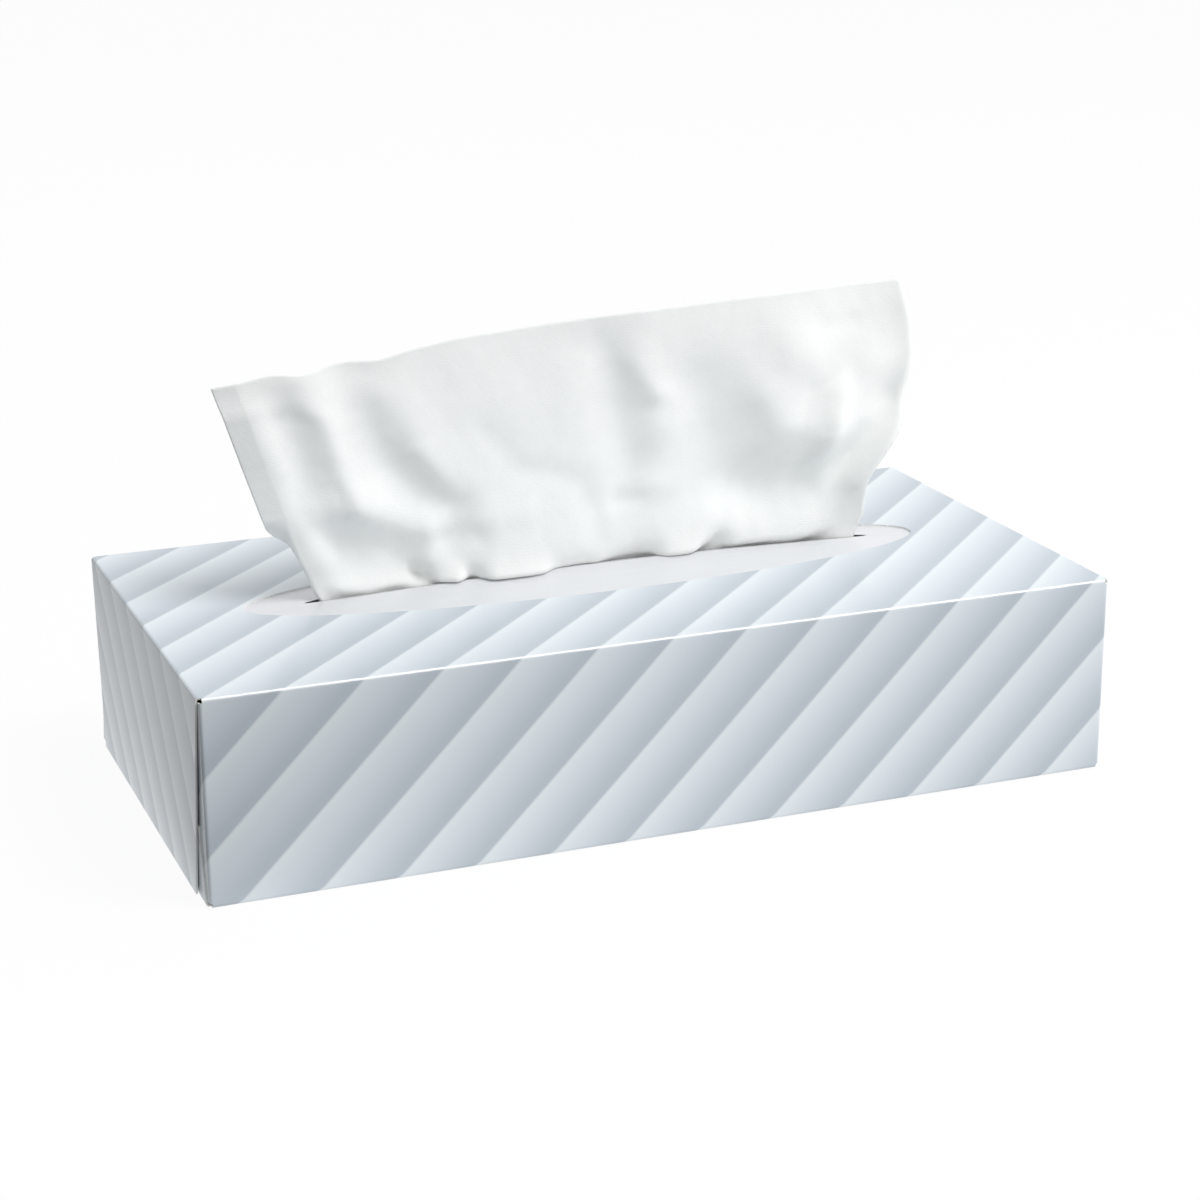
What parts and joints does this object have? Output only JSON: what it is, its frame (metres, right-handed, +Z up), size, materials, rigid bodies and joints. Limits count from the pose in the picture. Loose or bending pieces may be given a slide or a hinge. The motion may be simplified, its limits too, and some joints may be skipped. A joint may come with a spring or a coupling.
{
  "type": "tissue box",
  "caption": "Flat paperboard tissue box with diagonal shaded bands, an oval opening with a slit film and a tissue drawn up through the slit.",
  "frame": {"origin": "middle of the carton's base", "axes": "+X along the box, +Y from the front panel to the back panel, +Z up"},
  "size_m": [0.2324, 0.117, 0.116],
  "materials": {
    "printed_board": "varnished print on white board",
    "film": "satin translucent film",
    "tissue_paper": "soft creped tissue"
  },
  "bodies": {
    "root": {"carton": "printed_board", "slit_film": "film", "tissue_stack": "tissue_paper", "pop_up_tissue": "tissue_paper"}
  },
  "joints": []
}
